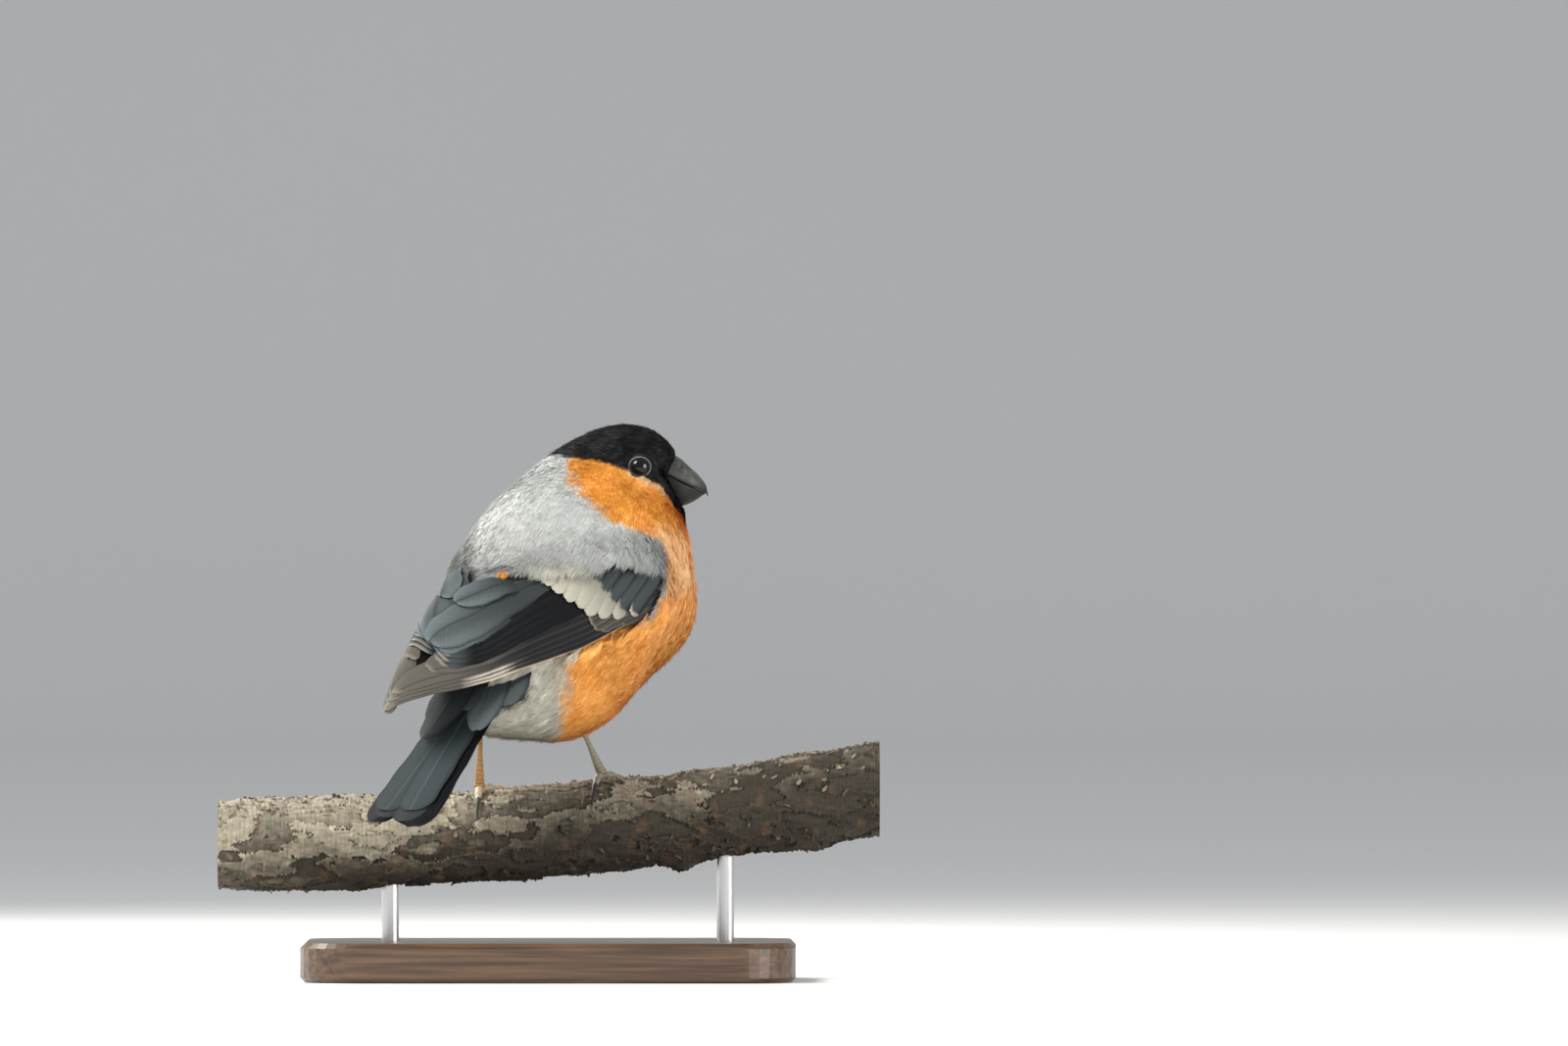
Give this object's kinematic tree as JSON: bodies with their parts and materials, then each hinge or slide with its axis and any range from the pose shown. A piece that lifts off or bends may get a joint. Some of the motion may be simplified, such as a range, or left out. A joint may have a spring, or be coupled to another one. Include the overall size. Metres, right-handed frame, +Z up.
{
  "type": "bullfinch",
  "caption": "Life-size still model of a male bullfinch gripping a short cut branch, looking over its shoulder, on a plain display stand.",
  "frame": {"origin": "the middle of the underside of the stand's base, on the surface it rests on", "axes": "+X along the branch, towards the end that the bird's bill points to, +Y away from the side that shows the bird's back, +Z up"},
  "size_m": [0.15, 0.0904, 0.126],
  "materials": {
    "head_plumage": "glossy black feathers of the cap and chin, with the orange cheeks below",
    "body_plumage": "soft dense feathers: orange breast and cheeks, ash grey back, white belly and rump",
    "wing_feathers": "black flight feathers with a blue gloss, browner tips, and a pale grey bar",
    "tail_feathers": "black tail feathers with a slate blue gloss",
    "eye": "dark brown, almost black, wet gloss",
    "bill": "dark grey horn with a soft sheen",
    "claw": "dark horn",
    "leg": "grey brown scaled skin",
    "bark": "grey brown bark, flaking, with pale streaks",
    "stand_base": "dark stained wood, satin",
    "stand_rod": "brushed steel"
  },
  "bodies": {
    "root": {"head": "head_plumage", "eye_r": "eye", "eye_l": "eye", "upper_bill": "bill", "lower_bill": "bill", "neck": "body_plumage", "torso": "body_plumage", "wing_r": "wing_feathers", "wing_l": "wing_feathers", "tail": "tail_feathers", "perch": "bark", "stand_base": "stand_base", "stand_rod_1": "stand_rod", "stand_rod_2": "stand_rod", "leg_r": "leg", "foot_r": "leg", "claw_r_hind": "claw", "claw_r_inner": "claw", "claw_r_middle": "claw", "claw_r_outer": "claw", "leg_l": "leg", "foot_l": "leg", "claw_l_hind": "claw", "claw_l_inner": "claw", "claw_l_middle": "claw", "claw_l_outer": "claw"}
  },
  "joints": []
}
